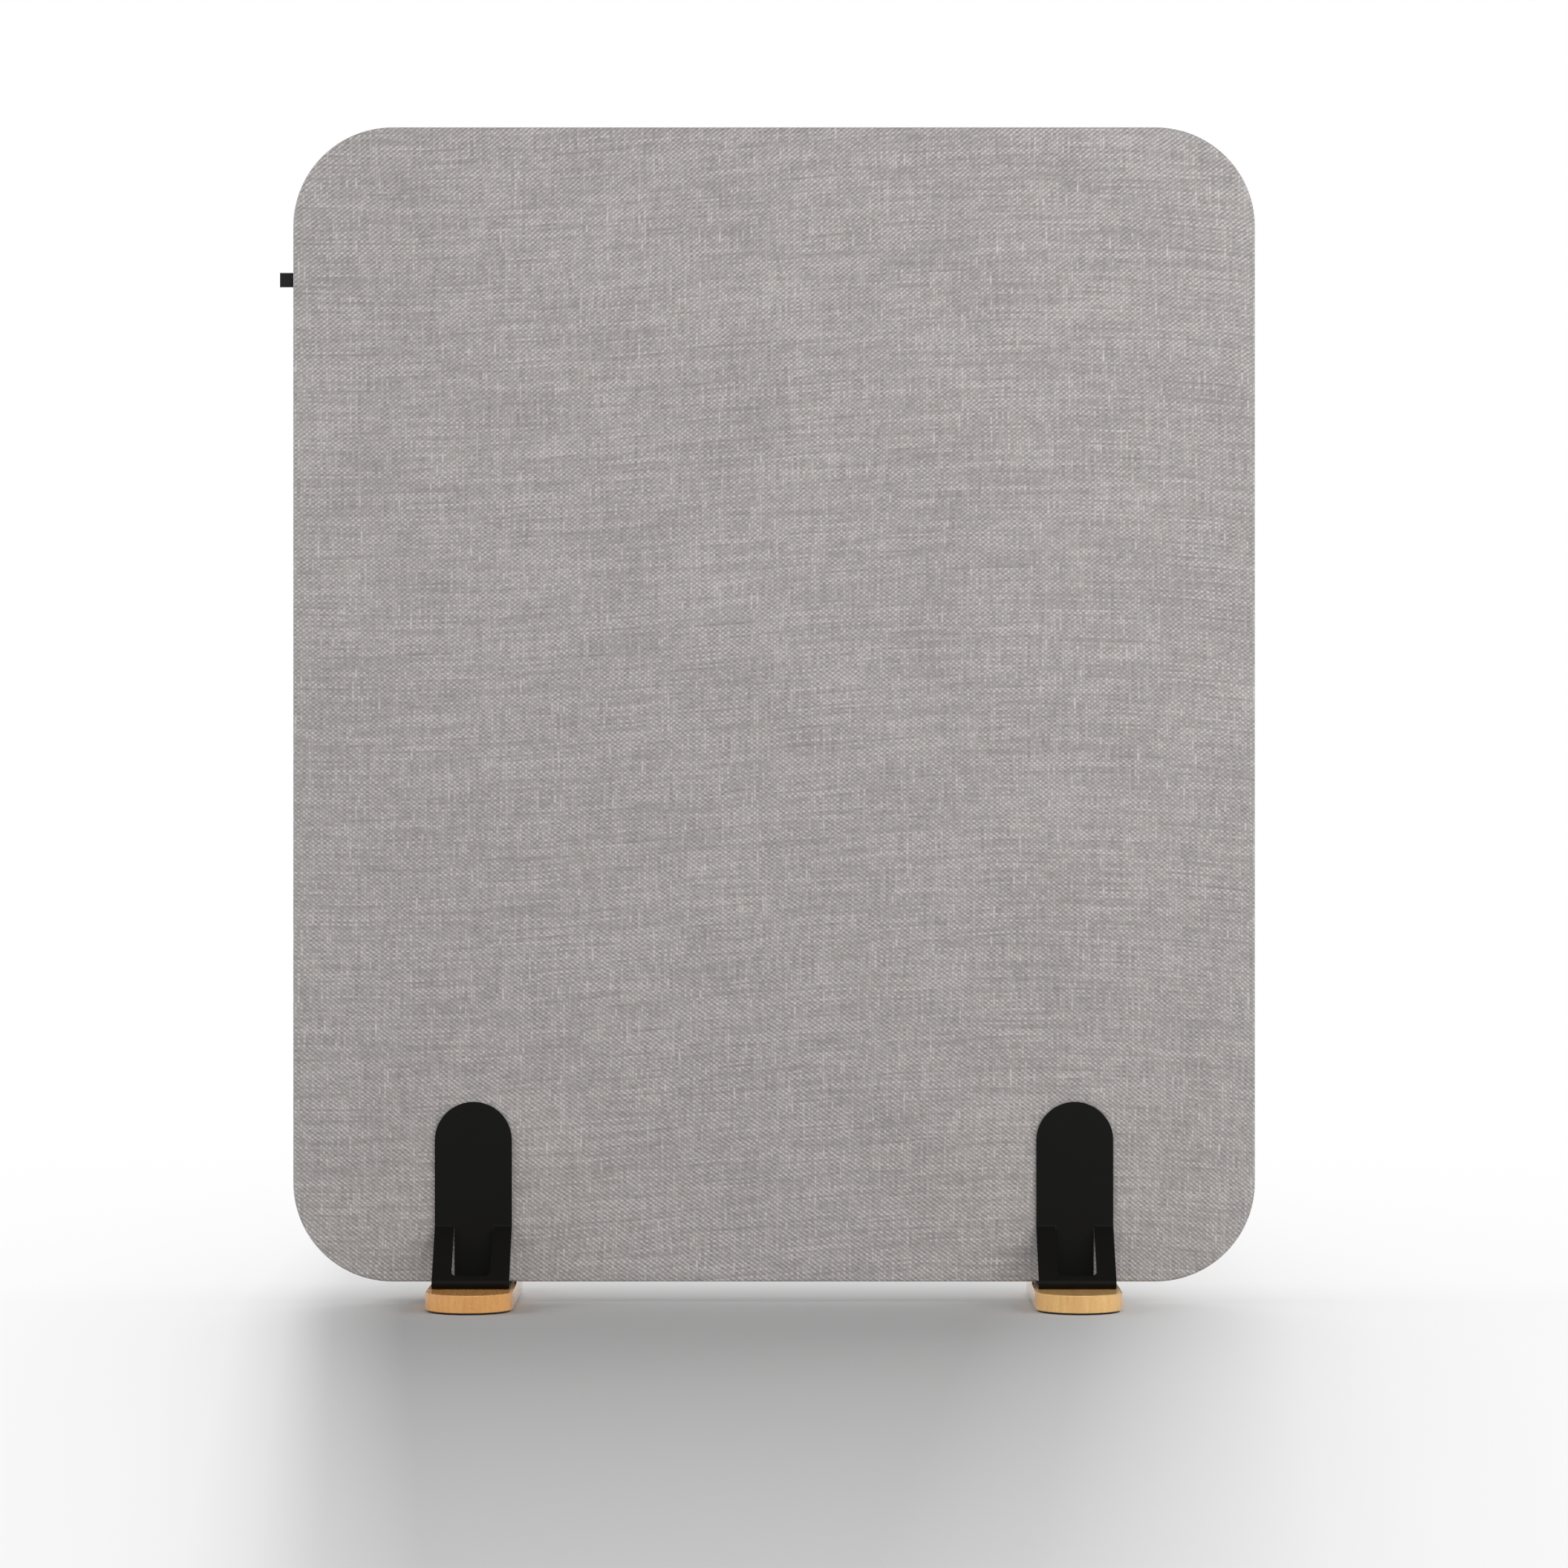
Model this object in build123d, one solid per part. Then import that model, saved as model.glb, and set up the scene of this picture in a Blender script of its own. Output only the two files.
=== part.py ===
import os
from math import cos, radians, sin, tan

from build123d import *

# A free-standing acoustic divider screen: a cloth-covered panel that stands in two bent steel
# brackets, each screwed to a wooden slat. Lengths are in millimetres, angles in degrees.
# X runs to the viewer's right, Y to the rear and Z up. The origin lies on the floor, under the
# middle of the panel.

# Panel, measured over its cloth
panel_width = 1000.0
panel_height = 1200.0
panel_thickness = 40.0
panel_corner_radius = 103.0
panel_edge_radius = 8.0  # where the face turns into the narrow side
cloth_thickness = 1.0
cloth_ease = 0.2  # between the cloth and the edge that it is pulled over
foam_thickness = 8.0
rail_width = 60.0
slab_ease = 0.3  # between an absorber slab and the frame around it

# Dowels of the frame
dowel_diameter = 8.0
dowel_length = 40.0
dowel_chamfer = 1.0
dowel_spacing = 30.0
dowel_clearance = 0.1  # on the diameter
dowel_hole_spare = 0.5  # past each end of a dowel

# Woven tag in the side seam
tag_reach = 15.0  # out of the seam
tag_height = 15.0
tag_thickness = 1.2  # a ribbon folded double
tag_drop = 157.0  # from the top of the panel to the middle of the tag

# Feet
foot_inset = 187.5  # from the side of the panel to the middle of a foot
slat_length = 280.0
slat_width = 90.0
slat_thickness = 18.0
slat_edge_radius = 1.0
pad_thickness = 2.0
pad_inset = 3.0  # inside the outline of the slat

# Bent steel bracket
steel_thickness = 3.0
bracket_width = 80.0
paddle_rise = 187.0  # from the panel's lower edge to the top of the paddle
bend_rise = 58.0  # from the panel's lower edge to the bend under the paddle
leg_angle = 45.0  # of the legs, out from the panel
bend_inner_radius = 3.0
window_width = 40.0
window_sill = 4.9  # from the window down to the start of the lower bend
window_corner_radius = 6.0
tongue_kerf = 0.5  # beside the tongue
tongue_gap = 2.5  # between the end of the tongue and the base plate
rim_radius = 0.4  # of the edges that are seen and touched

# Screws that hold the panel on the bracket, from below
panel_screw_diameter = 6.0
panel_screw_spacing = 40.0
panel_screw_head_diameter = 10.0
panel_screw_head_height = 6.0
panel_screw_socket_width = 5.0  # across flats
panel_screw_socket_depth = 3.0
panel_screw_clearance = 0.6  # on the diameter, in slat and bracket
panel_screw_tail = 1.2  # past the end of the threaded insert
panel_screw_recess = 0.4  # of the head, inside the underside of the slat
washer_diameter = 18.0
washer_thickness = 1.6
counterbore_diameter = 20.0
insert_diameter = 10.0
insert_length = 13.0
thread_clearance = 0.1  # on the diameter
insert_hole_spare = 1.0  # past the end of the screw

# Countersunk screws that hold the bracket on the slat
plate_screw_diameter = 4.0
plate_screw_head_diameter = 8.0
plate_screw_length = 16.0
plate_screw_point = 3.0
plate_screw_socket_width = 2.5  # across flats
plate_screw_socket_depth = 1.2
plate_screw_column_spacing = 24.0
plate_screw_row_spacing = 84.0

# Cuts run past the surface by this much
overrun = 1.0

# Heights that follow from the stack of pad, slat, steel and panel
slat_bottom = pad_thickness
slat_top = slat_bottom + slat_thickness
panel_bottom = slat_top + steel_thickness
panel_top = panel_bottom + panel_height
panel_middle = (panel_bottom + panel_top) / 2

# The counterbore takes the head and its washer, and the screw reaches just past its insert
head_bottom = slat_bottom + panel_screw_recess
head_top = head_bottom + panel_screw_head_height
counterbore_top = head_top + washer_thickness

# Layers of the panel
frame_inset = cloth_thickness + cloth_ease
frame_thickness = panel_thickness - 2 * (cloth_thickness + foam_thickness)
frame_half_width = panel_width / 2 - frame_inset
frame_bottom = panel_bottom + frame_inset
frame_top = panel_top - frame_inset
bay_half_width = frame_half_width - rail_width
panel_screw_end = frame_bottom + insert_length + panel_screw_tail

# Straight rails and stiles meet the round corner blocks where the corners begin
joint_x = panel_width / 2 - panel_corner_radius
joint_low = panel_bottom + panel_corner_radius
joint_high = panel_top - panel_corner_radius

# Feet, and the screws seen from above
foot_places = {"left": foot_inset - panel_width / 2, "right": panel_width / 2 - foot_inset}
panel_screw_places = [(side * panel_screw_spacing / 2, 0) for side in (-1, 1)]
plate_screw_places = [
    (side * plate_screw_column_spacing / 2, end * plate_screw_row_spacing / 2)
    for side in (-1, 1)
    for end in (-1, 1)
]


def panel_plate(inset, front, rear):
    """A plate with the panel's outline, drawn in by inset, between two depths."""
    outline = RectangleRounded(
        panel_width - 2 * inset, panel_height - 2 * inset, panel_corner_radius - inset
    )
    plane = Plane(origin=(0, rear, panel_middle), x_dir=(1, 0, 0), z_dir=(0, -1, 0))
    return extrude(plane * outline, rear - front)


def region(left, right, low, high):
    """A box across the panel's whole thickness."""
    box = Box(right - left, panel_thickness, high - low)
    return Pos((left + right) / 2, 0, (low + high) / 2) * box


def post(place, low, high, diameter):
    """An upright round bar between two heights."""
    bar = Cylinder(diameter / 2, high - low, align=(Align.CENTER, Align.CENTER, Align.MIN))
    return Pos(place[0], place[1], low) * bar


def cut_all(piece, tools):
    """The one solid that is left of a piece after its holes are cut."""
    for tool in tools:
        piece = piece - tool
    return piece.solids()[0]


def round_rims(plate, faces, radius):
    """The plate with the whole rim of each given face rounded."""
    edges = [edge for face in faces for edge in face.edges()]
    return fillet(edges, radius)


def cover_shell():
    """The closed cloth skin, before it is parted at the seam."""
    outer = panel_plate(0, -panel_thickness / 2, panel_thickness / 2)
    faces = outer.faces().sort_by(Axis.Y)
    outer = round_rims(outer, (faces[0], faces[-1]), panel_edge_radius)
    depth = panel_thickness / 2 - cloth_thickness
    inner = panel_plate(cloth_thickness, -depth, depth)
    faces = inner.faces().sort_by(Axis.Y)
    inner = round_rims(inner, (faces[0], faces[-1]), panel_edge_radius - cloth_thickness)
    return outer - inner


def side_tag():
    """The folded ribbon: a round fold outside, its cut end against the stile."""
    left = -panel_width / 2 - tag_reach
    right = -frame_half_width
    ribbon = Box(right - left, tag_thickness, tag_height)
    fold = ribbon.edges().filter_by(Axis.Z).group_by(Axis.X)[0]
    ribbon = chamfer(fold, tag_thickness / 4)
    return Pos((left + right) / 2, 0, panel_top - tag_drop) * ribbon


def covers(tag):
    """Front and rear covers, which meet at the mid-plane seam."""
    shell = cover_shell()
    screw_hole = panel_screw_diameter + panel_screw_clearance
    holes = [
        post((foot_x + x, y), panel_bottom - overrun, frame_bottom, screw_hole)
        for foot_x in foot_places.values()
        for x, y in panel_screw_places
    ]
    seam = Plane.XZ
    halves = {}
    for name, keep in (("front_cover", Keep.TOP), ("rear_cover", Keep.BOTTOM)):
        halves[name] = cut_all(split(shell, bisect_by=seam, keep=keep), [tag] + holes)
    return halves


def foam_pad():
    """The front pad, from the frame to the cloth, with its outer edge rounded."""
    pad = panel_plate(frame_inset, cloth_thickness - panel_thickness / 2, -frame_thickness / 2)
    front_face = pad.faces().sort_by(Axis.Y)[0]
    return round_rims(pad, [front_face], panel_edge_radius - frame_inset)


def dowels(diameter, length):
    """One bar for each dowel, two at every joint of the frame."""
    offsets = (-dowel_spacing / 2, dowel_spacing / 2)
    rail_middles = (frame_bottom + rail_width / 2, frame_top - rail_width / 2)
    stile_middle = frame_half_width - rail_width / 2
    lying = Rot(0, 90, 0) * Cylinder(diameter / 2, length)
    upright = Cylinder(diameter / 2, length)
    bars = []
    for side in (-1, 1):
        for offset in offsets:
            bars += [Pos(side * joint_x, 0, z + offset) * lying for z in rail_middles]
            bars.append(Pos(side * bay_half_width, 0, panel_middle + offset) * lying)
            x = side * stile_middle + offset
            bars += [Pos(x, 0, z) * upright for z in (joint_low, joint_high)]
    return bars


def insert_posts(low, high, diameter):
    """One upright bar at each threaded insert."""
    return [
        post((foot_x + x, y), low, high, diameter)
        for foot_x in foot_places.values()
        for x, y in panel_screw_places
    ]


def frame_members():
    """Rails, stiles and corner blocks, with the holes for dowels and inserts."""
    half = frame_thickness / 2
    ring = panel_plate(frame_inset, -half, half)
    ring -= panel_plate(frame_inset + rail_width, -half - overrun, half + overrun)
    side = panel_width / 2
    bars = {
        "top_rail": region(-joint_x, joint_x, joint_high, panel_top),
        "bottom_rail": region(-joint_x, joint_x, panel_bottom, joint_low),
        "left_stile": region(-side, -joint_x, joint_low, joint_high),
        "right_stile": region(joint_x, side, joint_low, joint_high),
        "top_left_corner_block": region(-side, -joint_x, joint_high, panel_top),
        "top_right_corner_block": region(joint_x, side, joint_high, panel_top),
        "bottom_left_corner_block": region(-side, -joint_x, panel_bottom, joint_low),
        "bottom_right_corner_block": region(joint_x, side, panel_bottom, joint_low),
    }
    members = {name: ring & bar for name, bar in bars.items()}
    middle_rail = Box(2 * bay_half_width, frame_thickness, rail_width)
    members["middle_rail"] = Pos(0, 0, panel_middle) * middle_rail

    holes = dowels(dowel_diameter + dowel_clearance, dowel_length + 2 * dowel_hole_spare)
    insert_hole = insert_diameter + thread_clearance
    hole_top = panel_screw_end + insert_hole_spare
    holes += insert_posts(frame_bottom - overrun, hole_top, insert_hole)
    return {name: cut_all(member, holes) for name, member in members.items()}


def absorber_slab(low, high):
    """A slab that fills one bay of the frame."""
    half = frame_thickness / 2
    slab = panel_plate(frame_inset + rail_width + slab_ease, -half, half)
    return (slab & region(-bay_half_width, bay_half_width, low, high)).solids()[0]


def threaded_inserts():
    """The inserts in the bottom rail, open at both ends."""
    low = frame_bottom
    high = frame_bottom + insert_length
    sleeves = insert_posts(low, high, insert_diameter)
    bores = insert_posts(low - overrun, high + overrun, panel_screw_diameter + thread_clearance)
    return [sleeve - bore for sleeve, bore in zip(sleeves, bores)]


def stadium(length, width, low, high):
    """A plate with half-round ends that runs front to rear."""
    outline = SlotOverall(length, width, rotation=90)
    return extrude(Plane(origin=(0, 0, low)) * outline, high - low)


def slat():
    """The wooden foot, with counterbores below and pilot holes above."""
    wood = stadium(slat_length, slat_width, slat_bottom, slat_top)
    faces = wood.faces().sort_by(Axis.Z)
    wood = round_rims(wood, (faces[0], faces[-1]), slat_edge_radius)
    through = panel_screw_diameter + panel_screw_clearance
    holes = []
    for place in panel_screw_places:
        holes.append(post(place, slat_bottom - overrun, counterbore_top, counterbore_diameter))
        holes.append(post(place, counterbore_top - overrun, slat_top + overrun, through))
    pilot_bottom = panel_bottom - plate_screw_length
    pilot = plate_screw_diameter + thread_clearance
    holes += [post(place, pilot_bottom, slat_top + overrun, pilot) for place in plate_screw_places]
    return cut_all(wood, holes)


def foot_pad():
    """The thin pad under the slat, with a way through to each screw."""
    pad = stadium(slat_length - 2 * pad_inset, slat_width - 2 * pad_inset, 0, pad_thickness)
    holes = [
        post(place, -overrun, pad_thickness + overrun, counterbore_diameter)
        for place in panel_screw_places
    ]
    return cut_all(pad, holes)


def round_corners(face, corners, radius):
    """The face with the vertices nearest to the given corners rounded."""
    for corner in corners:
        vertex = face.vertices().sort_by_distance(corner)[0]
        face = fillet(vertex, radius)
    return face


def bracket_profile():
    """The bracket's section, seen from the side: both paddles, both legs and the base."""
    angle = radians(leg_angle)
    inside = panel_thickness / 2
    outside = inside + steel_thickness
    paddle_top = panel_bottom + paddle_rise
    bend_z = panel_bottom + bend_rise
    inner_bend_z = bend_z - steel_thickness * tan(angle / 2)
    reach = outside + (bend_z - slat_top) * tan(angle)
    inner_reach = reach - steel_thickness / tan(radians(90 - leg_angle) / 2)
    front = [(inside, paddle_top), (outside, paddle_top), (outside, bend_z), (reach, slat_top)]
    rear = [(-y, z) for y, z in reversed(front)]
    inner = [(-inside, inner_bend_z), (-inner_reach, panel_bottom)]
    inner += [(-y, z) for y, z in reversed(inner)]
    section = make_face(Polyline(*front, *rear, *inner, close=True))
    both = (-1, 1)
    hollow = [(side * outside, bend_z) for side in both]
    hollow += [(side * inner_reach, panel_bottom) for side in both]
    proud = [(side * inside, inner_bend_z) for side in both]
    proud += [(side * reach, slat_top) for side in both]
    section = round_corners(section, hollow, bend_inner_radius)
    return round_corners(section, proud, bend_inner_radius + steel_thickness)


def hanging_slot(width, length, corner_radius):
    """A slot that hangs down from the origin, with its lower corners rounded."""
    slot = Pos(0, -length / 2) * Rectangle(width, length)
    lower = slot.vertices().sort_by(Axis.Y)[:2]
    return fillet(lower, corner_radius)


def front_window_and_tongue():
    """What is cut from the front leg, and the tongue that stays upright behind the cut."""
    angle = radians(leg_angle)
    inside = panel_thickness / 2
    outside = inside + steel_thickness
    outer_radius = bend_inner_radius + steel_thickness
    bend_z = panel_bottom + bend_rise
    slot_top = bend_z + bend_inner_radius * tan(angle / 2)
    leg_length = (bend_z - slat_top) / cos(angle)
    lower_bend = outer_radius / tan(radians(90 - leg_angle) / 2)
    window_length = leg_length - lower_bend - window_sill

    leg_plane = Plane(
        origin=(0, -outside, bend_z), x_dir=(1, 0, 0), z_dir=(0, -cos(angle), sin(angle))
    )
    slot = leg_plane * hanging_slot(window_width, window_length, window_corner_radius)
    cut = extrude(slot, overrun) + extrude(slot, -steel_thickness - overrun)
    bend_height = slot_top - bend_z + 2 * steel_thickness
    bend_cut = Box(window_width, steel_thickness + overrun, bend_height)
    cut += Pos(0, -inside - (steel_thickness + overrun) / 2, slot_top - bend_height / 2) * bend_cut

    tongue_top = slot_top + overrun
    tongue_length = tongue_top - panel_bottom - tongue_gap
    tongue_plane = Plane(origin=(0, -inside, tongue_top), x_dir=(1, 0, 0), z_dir=(0, -1, 0))
    shape = hanging_slot(
        window_width - 2 * tongue_kerf, tongue_length, window_corner_radius - tongue_kerf
    )
    tongue = extrude(tongue_plane * shape, steel_thickness)
    return cut, tongue


def countersink(place):
    """A flat screw head, from the top of the base plate down to the shank."""
    depth = (plate_screw_head_diameter - plate_screw_diameter) / 2
    cone = Cone(plate_screw_diameter / 2, plate_screw_head_diameter / 2, depth)
    return Pos(place[0], place[1], panel_bottom - depth / 2) * cone


def bracket():
    """The one bent sheet that holds the panel between its paddles."""
    sheet = extrude(Plane.YZ * bracket_profile(), bracket_width / 2, both=True)
    paddle_middle = panel_bottom + paddle_rise - bracket_width / 2
    depth = 2 * (panel_thickness + slat_length)
    body = Pos(0, (slat_bottom + paddle_middle) / 2) * Rectangle(
        bracket_width, paddle_middle - slat_bottom
    )
    outline = body + Pos(0, paddle_middle) * Circle(bracket_width / 2)
    sheet = sheet & extrude(Plane.XZ * outline, depth / 2, both=True)
    bends = sheet.faces().filter_by(GeomType.CYLINDER)
    arches = [face for face in bends if face.radius > bracket_width / 4]
    rims = [
        edge
        for face in sheet.faces().filter_by(Axis.X) + arches
        for edge in face.edges().filter_by(Axis.Y, reverse=True)
    ]
    sheet = fillet(rims, rim_radius)

    cut, tongue = front_window_and_tongue()
    sheet = sheet - cut - mirror(cut, Plane.XZ)
    sheet = sheet + tongue + mirror(tongue, Plane.XZ)
    through = panel_screw_diameter + panel_screw_clearance
    holes = [
        post(place, slat_top - overrun, panel_bottom + overrun, through)
        for place in panel_screw_places
    ]
    shank_hole = plate_screw_diameter + thread_clearance
    for place in plate_screw_places:
        holes.append(countersink(place))
        holes.append(post(place, slat_top - overrun, panel_bottom, shank_hole))
    return cut_all(sheet, holes)


def hexagon_socket(width, depth, plane):
    """A hexagonal recess that goes down from a plane."""
    return extrude(plane * RegularPolygon(width / 2, 6, major_radius=False), -depth)


def panel_screw(place):
    """A cap screw, with its head down in the slat's counterbore."""
    screw = post(place, head_bottom, head_top, panel_screw_head_diameter)
    screw += post(place, head_top - overrun, panel_screw_end, panel_screw_diameter)
    underside = Plane(origin=(place[0], place[1], head_bottom), z_dir=(0, 0, -1))
    socket = hexagon_socket(panel_screw_socket_width, panel_screw_socket_depth, underside)
    return cut_all(screw, [socket])


def panel_washer(place):
    """A wide washer between the screw's head and the wood."""
    bore = panel_screw_diameter + panel_screw_clearance
    hole = post(place, head_top - overrun, counterbore_top + overrun, bore)
    return cut_all(post(place, head_top, counterbore_top, washer_diameter), [hole])


def plate_screw(place):
    """A countersunk wood screw, flush with the base plate, with a cone for its point."""
    tip = panel_bottom - plate_screw_length
    shank_bottom = tip + plate_screw_point
    point = Cone(0, plate_screw_diameter / 2, plate_screw_point)
    screw = countersink(place) + post(place, shank_bottom, panel_bottom, plate_screw_diameter)
    screw += Pos(place[0], place[1], tip + plate_screw_point / 2) * point
    top = Plane(origin=(place[0], place[1], panel_bottom))
    socket = hexagon_socket(plate_screw_socket_width, plate_screw_socket_depth, top)
    return cut_all(screw, [socket])


def panel_pieces():
    """Everything in and on the panel."""
    tag = side_tag()
    half = frame_thickness / 2
    front_foam = foam_pad()
    slab_gap = rail_width / 2 + slab_ease
    round_dowels = [
        chamfer(bar.edges().filter_by(GeomType.CIRCLE), dowel_chamfer)
        for bar in dowels(dowel_diameter, dowel_length)
    ]
    pieces = covers(tag)
    pieces.update(frame_members())
    pieces["side_tag"] = tag
    pieces["front_foam_pad"] = front_foam
    pieces["rear_foam_pad"] = mirror(front_foam, Plane.XZ)
    pieces["upper_absorber_slab"] = absorber_slab(panel_middle + slab_gap, frame_top)
    pieces["lower_absorber_slab"] = absorber_slab(frame_bottom, panel_middle - slab_gap)
    pieces["frame_dowels"] = Compound(children=round_dowels)
    pieces["threaded_inserts"] = Compound(children=threaded_inserts())
    return pieces


def foot_pieces(side, foot_x):
    """One foot: slat, pad, bracket and their fasteners."""
    place = Pos(foot_x, 0, 0)
    groups = {
        "panel_screws": [panel_screw(spot) for spot in panel_screw_places],
        "panel_screw_washers": [panel_washer(spot) for spot in panel_screw_places],
        "plate_screws": [plate_screw(spot) for spot in plate_screw_places],
    }
    pieces = {
        f"{side}_slat": place * slat(),
        f"{side}_foot_pad": place * foot_pad(),
        f"{side}_bracket": place * bracket(),
    }
    for name, members in groups.items():
        pieces[f"{side}_{name}"] = Compound(children=[place * member for member in members])
    return pieces


os.makedirs("parts", exist_ok=True)
all_pieces = panel_pieces()
for foot_side, foot_middle in foot_places.items():
    all_pieces.update(foot_pieces(foot_side, foot_middle))
for piece_name, piece_shape in all_pieces.items():
    export_step(piece_shape, f"parts/{piece_name}.step")
print(len(all_pieces), "nodes written")
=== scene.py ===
import math

import bmesh
import bpy
import numpy as np
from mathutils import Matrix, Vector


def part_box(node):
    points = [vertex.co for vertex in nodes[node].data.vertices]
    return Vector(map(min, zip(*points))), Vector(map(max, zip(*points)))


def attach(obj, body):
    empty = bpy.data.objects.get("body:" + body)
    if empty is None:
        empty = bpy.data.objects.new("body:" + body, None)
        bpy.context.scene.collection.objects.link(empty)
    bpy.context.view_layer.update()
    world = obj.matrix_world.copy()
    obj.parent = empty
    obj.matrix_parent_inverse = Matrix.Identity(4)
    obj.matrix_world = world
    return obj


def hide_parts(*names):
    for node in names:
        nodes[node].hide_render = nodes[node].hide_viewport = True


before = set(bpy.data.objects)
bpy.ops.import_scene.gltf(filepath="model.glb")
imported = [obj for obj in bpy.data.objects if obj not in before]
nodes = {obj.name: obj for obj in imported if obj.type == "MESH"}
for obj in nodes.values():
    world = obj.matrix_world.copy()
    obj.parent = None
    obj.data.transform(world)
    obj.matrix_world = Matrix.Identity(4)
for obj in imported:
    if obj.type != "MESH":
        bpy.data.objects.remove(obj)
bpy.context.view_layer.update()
print("frame loaded:", len(nodes), "nodes")

# Lengths are in metres, X to the right, Y to the rear, Z up, the origin on the floor.
mm = 0.001

# The view: a level camera, a little right of the middle, as far off as the slats' ends say
view = {"x": 0.0103, "y": -5.42, "z": 0.5403, "pixels": 1932, "focalPixels": 6401, "sensor": 36}

cameraData = bpy.data.cameras.new("camera")
cameraData.sensor_width = view["sensor"]
cameraData.lens = view["sensor"] * view["focalPixels"] / view["pixels"]
camera = bpy.data.objects.new("camera", cameraData)
camera.location = (view["x"], view["y"], view["z"])
camera.rotation_euler = (math.pi / 2, 0, 0)
bpy.context.collection.objects.link(camera)
bpy.context.scene.camera = camera
bpy.context.scene.view_settings.view_transform = "Standard"


# Small helpers for node trees
def newMaterial(name):
    material = bpy.data.materials.new(name)
    material.use_nodes = True
    tree = material.node_tree
    shader = tree.nodes["Principled BSDF"]
    return material, tree, shader


def addNode(tree, kind, **settings):
    node = tree.nodes.new(kind)
    for key, value in settings.items():
        if hasattr(node, key):
            setattr(node, key, value)
        else:
            node.inputs[key.replace("_", " ")].default_value = value
    return node


def feed(tree, node, values):
    for socket, value in zip(node.inputs, values):
        if isinstance(value, (int, float)):
            socket.default_value = value
        else:
            tree.links.new(value, socket)
    return node.outputs[0]


# One Math node; each value is a number or another node's output
def calc(tree, operation, *values):
    return feed(tree, addNode(tree, "ShaderNodeMath", operation=operation), values)


def joinAxes(tree, x, y, z=0.0):
    return feed(tree, tree.nodes.new("ShaderNodeCombineXYZ"), (x, y, z))


def splitAxes(tree, vector):
    node = tree.nodes.new("ShaderNodeSeparateXYZ")
    tree.links.new(vector, node.inputs[0])
    return node.outputs["X"], node.outputs["Y"], node.outputs["Z"]


def objectPlace(tree):
    return tree.nodes.new("ShaderNodeTexCoord").outputs["Object"]


def noiseOn(tree, vector, scale, detail=2.0, roughness=0.5):
    node = addNode(tree, "ShaderNodeTexNoise", Scale=scale, Detail=detail, Roughness=roughness)
    tree.links.new(vector, node.inputs["Vector"])
    return node.outputs["Fac"]


def rescale(tree, value, low, high, newLow, newHigh):
    node = addNode(tree, "ShaderNodeMapRange")
    for name, number in (
        ("From Min", low),
        ("From Max", high),
        ("To Min", newLow),
        ("To Max", newHigh),
    ):
        node.inputs[name].default_value = number
    tree.links.new(value, node.inputs["Value"])
    return node.outputs["Result"]


# The shader's base colour from a ramp: the colours at the given places of a value
def colorBy(tree, shader, value, stops):
    node = tree.nodes.new("ShaderNodeValToRGB")
    ramp = node.color_ramp
    while len(ramp.elements) < len(stops):
        ramp.elements.new(0.5)
    for element, (place, color) in zip(ramp.elements, stops):
        element.position = place
        element.color = (*color, 1)
    tree.links.new(value, node.inputs["Fac"])
    tree.links.new(node.outputs["Color"], shader.inputs["Base Color"])


# Uniform numbers, by the names of the shader's sockets
def setSockets(shader, values):
    for name, value in values.items():
        shader.inputs[name].default_value = value


def bumpFrom(tree, shader, height, strength, distance):
    node = addNode(tree, "ShaderNodeBump", Strength=strength, Distance=distance)
    tree.links.new(height, node.inputs["Height"])
    tree.links.new(node.outputs["Normal"], shader.inputs["Normal"])


# Cloth: a coarse plain weave in heather grey, drawn on the flat plan of the cut cloth
cloth = {
    "warpPitch": 3.0 * mm,
    "weftPitch": 2.35 * mm,
    "wander": ((22.0, 1.8 * mm), (150.0, 0.5 * mm)),  # of the threads: scale and reach, slow and quick
    "bow": 0.09,  # slope of the weft at the middle of its arch
    "bowMiddle": -0.07,
    "bowHalf": 0.37,
    "threadStep": 7.31,  # in the noise, from a thread to the next, so that neighbours differ
    "warpSlub": 40 * mm,
    "weftSlub": 100 * mm,
    "shortRuns": 7.0,  # as many short changes of tone as there are long ones
    "longShare": 0.72,  # of a thread's tone that changes slowly along it
    "warpGain": 1.42,
    "weftGain": 1.7,
    "showThrough": 0.15,  # of the lower thread where the other one floats
    # The diagonals below are painted shade on the floats, from light falling on them from one side
    "strongDiagonalShade": 0.155,  # of the leading diagonal, as a share of the tone
    "faintDiagonalShade": 0.045,
    "patchScale": 85.0,
    "patchiness": 0.55,  # of the diagonals, from place to place
    "floatTone": 0.13,  # from one float to the next
    "slubTone": 0.34,  # of the rare light warp threads
    "slubFrom": 0.6,  # values of the noise between which a thread turns light
    "slubFull": 0.78,
    "slubStep": 5.9,
    "slubRun": 16 * mm,
    # painted shade in the hollows where four floats meet
    "gapShadeDepth": -0.12,  # of the dark dots between the floats
    "lift": 0.01,  # of the tone everywhere
    # heights over which the painted shade of the floats turns from one diagonal to the other
    "turnLow": 0.1,  # heights between which one diagonal hands over to the other
    "turnHigh": 1.2,
    "layers": (  # clouds, clumps, fibres and specks: scale, detail and roughness of a noise, its depth
        (9.0, 3.0, 0.55, 0.17),
        (60.0, 2.0, 0.6, 0.04),
        (260.0, 2.0, 0.6, 0.3),
        (900.0, 2.0, 0.5, 0.25),
    ),
    "yarns": (  # places on the scale of tones, and the colour there
        (0.2, (0.285, 0.267, 0.262)),
        (0.5, (0.425, 0.4, 0.393)),
        (0.8, (0.67, 0.636, 0.628)),
    ),
    "finish": {"Roughness": 0.92, "Specular IOR Level": 0.15, "Sheen Weight": 0.1, "Sheen Roughness": 0.6},
    "fuzzScale": 1400.0,
    "fuzz": 0.3,  # of the relief, beside the pillows of the floats
    "bump": 0.3,
    "relief": 0.3 * mm,
}


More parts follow.
